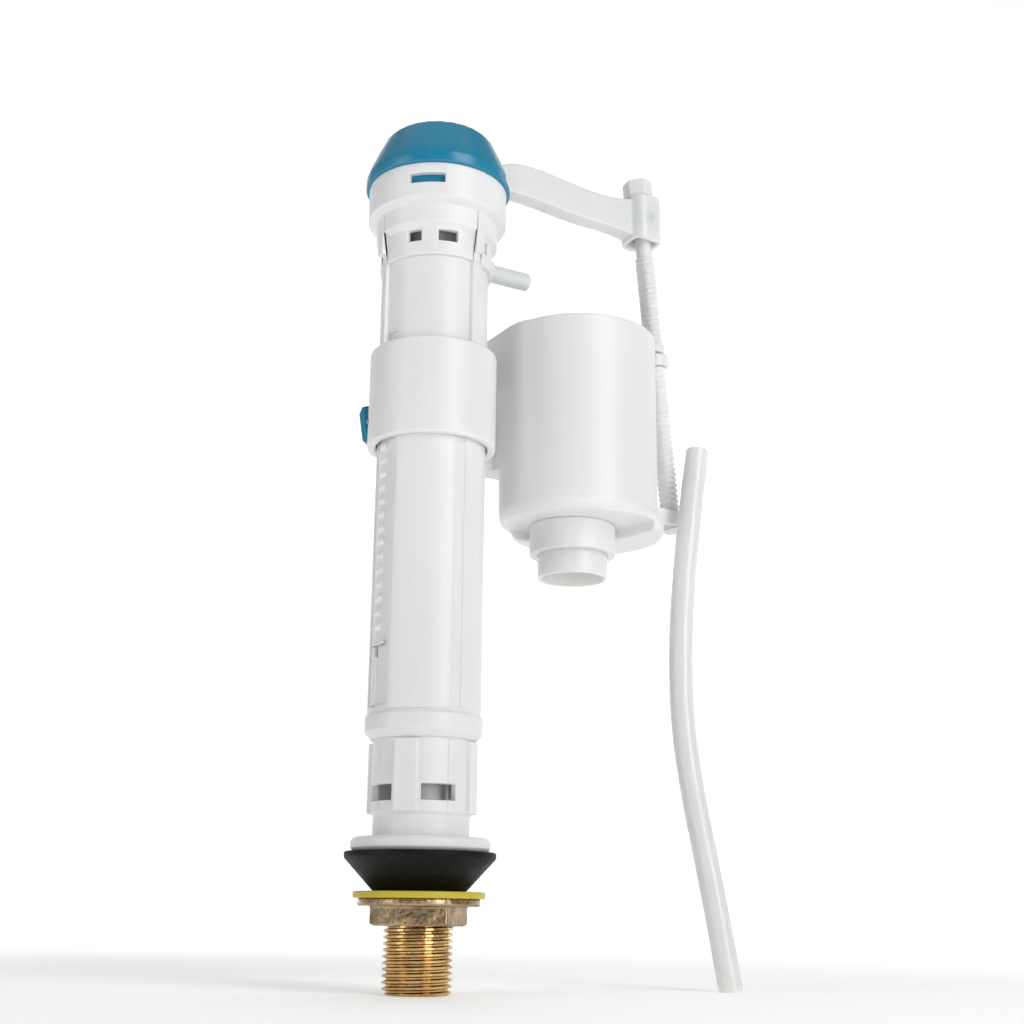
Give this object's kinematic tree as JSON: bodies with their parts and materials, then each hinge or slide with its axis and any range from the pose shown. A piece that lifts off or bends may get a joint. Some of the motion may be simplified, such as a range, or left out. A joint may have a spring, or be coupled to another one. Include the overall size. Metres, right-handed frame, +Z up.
{
  "type": "toilet fill valve",
  "caption": "Bottom-inlet toilet fill valve with a telescopic column, lever and threaded rod, side float chamber, brass tail and loose refill hose.",
  "frame": {"origin": "on the valve's axis at the lower end of the threaded tail", "axes": "+Z up the valve's axis, +X from the column towards the float, lever pivot along Y"},
  "size_m": [0.1316, 0.0544, 0.2889],
  "materials": {
    "brass": "polished",
    "bronze": "satin",
    "yellow_plastic": "satin",
    "black_rubber": "matte",
    "white_plastic": "satin",
    "milky_plastic": "satin",
    "blue_plastic": "satin",
    "seal_rubber": "matte",
    "hose_plastic": "satin",
    "steel": "satin"
  },
  "bodies": {
    "tail": {"tail_shank": "brass", "cone_washer": "black_rubber", "inlet_filter": "white_plastic", "flow_restrictor": "white_plastic", "shank_gasket": "seal_rubber", "lower_body": "white_plastic", "riser_tube": "white_plastic", "riser_orings": "seal_rubber", "refill_hose": "hose_plastic"},
    "washer": {"yellow_washer": "yellow_plastic"},
    "nut": {"back_nut": "bronze"},
    "column": {"outer_sleeve": "white_plastic", "inner_tube": "white_plastic", "head_body": "white_plastic", "refill_nozzle": "milky_plastic", "valve_seat": "white_plastic", "diaphragm": "seal_rubber", "pilot_cover": "white_plastic", "lever_bracket": "white_plastic", "lever_pin": "steel", "cap": "blue_plastic"},
    "diaphragm_centre": {"diaphragm_insert": "white_plastic"},
    "pilot": {"pilot_pin": "steel"},
    "lever": {"lever_arm": "milky_plastic"},
    "swivel": {"rod_swivel": "white_plastic"},
    "rod": {"adjusting_rod": "white_plastic", "rod_knob": "white_plastic"},
    "screw": {"level_nut": "white_plastic"},
    "chamber": {"float_chamber": "white_plastic", "outlet_collar": "white_plastic", "outlet_tube": "milky_plastic", "latch_pin": "steel"},
    "check": {"check_disc": "milky_plastic"},
    "float": {"float_bell": "white_plastic", "float_arm": "white_plastic"},
    "latch": {"latch_button": "blue_plastic"}
  },
  "joints": [
    {"name": "washer_slide", "type": "slide", "parent": "tail", "child": "washer", "axis": [0, 0, -1], "range_m": [0, 0.018]},
    {"name": "nut_turn", "type": "hinge", "parent": "washer", "child": "nut", "pos_m": [0, 0, 0.0225], "axis": [0, 0, 1], "range_deg": [0, 3580]},
    {"name": "height_slide", "type": "slide", "parent": "tail", "child": "column", "axis": [0, 0, 1], "range_m": [0, 0.045]},
    {"name": "diaphragm_stroke", "type": "slide", "parent": "column", "child": "diaphragm_centre", "axis": [0, 0, -1], "range_m": [0, 0.001], "deforming": ["diaphragm"]},
    {"name": "pilot_stroke", "type": "slide", "parent": "column", "child": "pilot", "axis": [0, 0, -1], "range_m": [0, 0.0019]},
    {"name": "lever_tilt", "type": "hinge", "parent": "column", "child": "lever", "pos_m": [0.012, 0, 0.2705], "axis": [0, -1, 0], "range_deg": [0, 8]},
    {"name": "swivel_tilt", "type": "hinge", "parent": "lever", "child": "swivel", "pos_m": [0.0849, 0, 0.2725], "axis": [0, 1, 0], "range_deg": [0, 8]},
    {"name": "rod_turn", "type": "hinge", "parent": "swivel", "child": "rod", "pos_m": [0.0849, 0, 0.2725], "axis": [-0.0978, 0, 0.9952], "continuous": true},
    {"name": "level_screw", "type": "slide", "parent": "rod", "child": "screw", "axis": [-0.0978, 0, 0.9952], "range_m": [-0.0272, 0]},
    {"name": "chamber_slide", "type": "slide", "parent": "column", "child": "chamber", "axis": [0, 0, 1], "range_m": [-0.027, 0]},
    {"name": "check_lift", "type": "slide", "parent": "chamber", "child": "check", "axis": [0, 0, 1], "range_m": [0, 0.0042]},
    {"name": "float_rise", "type": "slide", "parent": "chamber", "child": "float", "axis": [0, 0, 1], "range_m": [0, 0.0102]},
    {"name": "latch_press", "type": "hinge", "parent": "chamber", "child": "latch", "pos_m": [-0.01501, 0.0126, 0.1772], "axis": [-0.6428, -0.766, 0], "range_deg": [-9, 0]}
  ],
  "couplings": [
    {"joint": "nut_turn", "follows": "washer_slide", "rad_per_m": 3463.7},
    {"joint": "swivel_tilt", "follows": "lever_tilt", "ratio": 1},
    {"joint": "pilot_stroke", "follows": "lever_tilt", "m_per_rad": 0.0135},
    {"joint": "diaphragm_stroke", "follows": "lever_tilt", "m_per_rad": 0.0068},
    {"joint": "level_screw", "follows": "chamber_slide", "ratio": 1.0048},
    {"joint": "float_rise", "follows": "lever_tilt", "m_per_rad": 0.0723}
  ]
}
